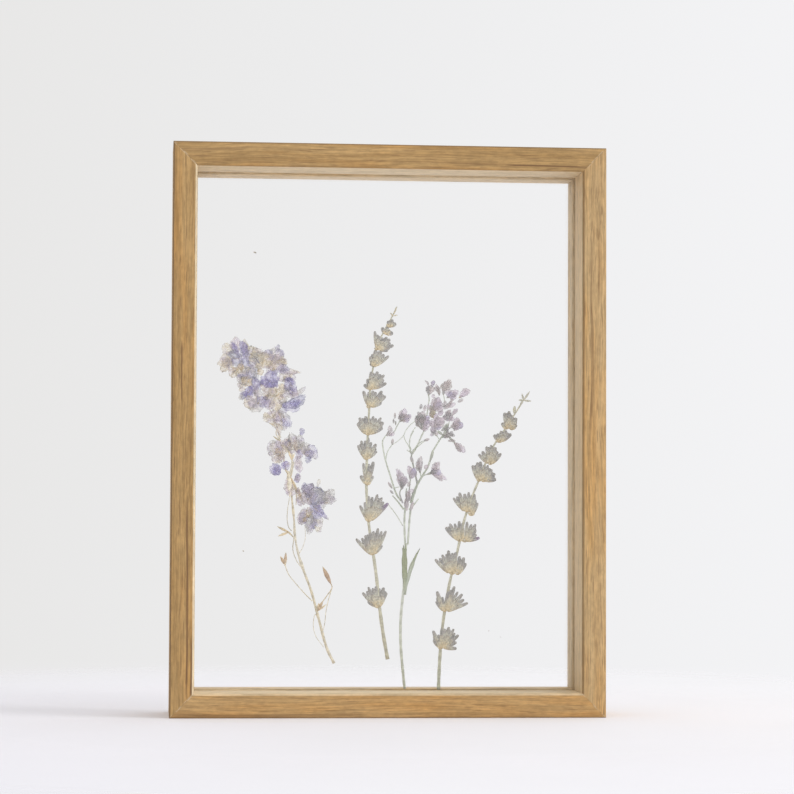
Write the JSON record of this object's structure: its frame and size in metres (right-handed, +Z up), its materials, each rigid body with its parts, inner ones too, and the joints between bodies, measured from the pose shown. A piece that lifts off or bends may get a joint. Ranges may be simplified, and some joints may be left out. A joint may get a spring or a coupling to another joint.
{
  "type": "pressed flower frame",
  "caption": "Free-standing double-glass picture frame in pale wood with dried larkspur, lavender and a small pink spray pressed between the panes.",
  "frame": {"origin": "middle of the footprint, on the surface that the bottom rail stands on", "axes": "+X to the right seen from the front, +Y towards the back, +Z up"},
  "size_m": [0.198, 0.038, 0.26],
  "materials": {
    "oak": "light oak-coloured wood, thin satin oil, open pores along the grain",
    "glass": "clear float glass, polished, faintly green at the edge",
    "straw_stem": "dry straw-coloured stalk, matte, finely ribbed",
    "larkspur_petal": "dried petal, thin and papery, violet fading to beige, veined",
    "lavender_stem": "dry square stalk, matte, brown-green",
    "lavender_calyx": "dried calyx, felted, grey-mauve tips on golden bases",
    "spray_green": "dried green stalk and leaf, matte",
    "lilac_petal": "dried small petals, thin, dusty pink to lilac"
  },
  "bodies": {
    "root": {"rail_bottom": "oak", "rail_top": "oak", "stile_left": "oak", "stile_right": "oak", "fillet_bottom": "oak", "fillet_left": "oak", "fillet_right": "oak", "fillet_top": "oak", "pane_front": "glass", "pane_rear": "glass", "larkspur_stem": "straw_stem", "larkspur_branch_left": "straw_stem", "larkspur_branch_right": "straw_stem", "larkspur_bract": "straw_stem", "larkspur_floret_crown": "larkspur_petal", "larkspur_floret_cream": "larkspur_petal", "larkspur_floret_spur": "larkspur_petal", "larkspur_floret_middle": "larkspur_petal", "larkspur_floret_fading": "larkspur_petal", "larkspur_floret_side_left": "larkspur_petal", "larkspur_floret_side_right": "larkspur_petal", "larkspur_floret_low": "larkspur_petal", "larkspur_floret_shade": "larkspur_petal", "lavender_tall_stem": "lavender_stem", "lavender_short_stem": "lavender_stem", "lavender_tall_whorl_1": "lavender_calyx", "lavender_tall_whorl_2": "lavender_calyx", "lavender_tall_whorl_3": "lavender_calyx", "lavender_tall_whorl_4": "lavender_calyx", "lavender_tall_whorl_5": "lavender_calyx", "lavender_tall_whorl_6": "lavender_calyx", "lavender_tall_whorl_7": "lavender_calyx", "lavender_tall_whorl_8": "lavender_calyx", "lavender_tall_whorl_9": "lavender_calyx", "lavender_tall_whorl_10": "lavender_calyx", "lavender_tall_whorl_11": "lavender_calyx", "lavender_tall_whorl_12": "lavender_calyx", "lavender_short_whorl_1": "lavender_calyx", "lavender_short_whorl_2": "lavender_calyx", "lavender_short_whorl_3": "lavender_calyx", "lavender_short_whorl_4": "lavender_calyx", "lavender_short_whorl_5": "lavender_calyx", "lavender_short_whorl_6": "lavender_calyx", "lavender_short_whorl_7": "lavender_calyx", "lavender_short_whorl_8": "lavender_calyx", "lavender_short_whorl_9": "lavender_calyx", "lavender_short_tip": "lavender_calyx", "spray_stem": "spray_green", "spray_leaf_broad": "spray_green", "spray_leaf_narrow": "spray_green", "spray_branch_left": "spray_green", "spray_branch_middle": "spray_green", "spray_branch_right": "spray_green", "spray_flower_left": "lilac_petal", "spray_flower_crown": "lilac_petal", "spray_flower_top": "lilac_petal", "spray_flower_right": "lilac_petal", "spray_flower_low": "lilac_petal", "spray_flower_trumpet": "lilac_petal"}
  },
  "joints": []
}
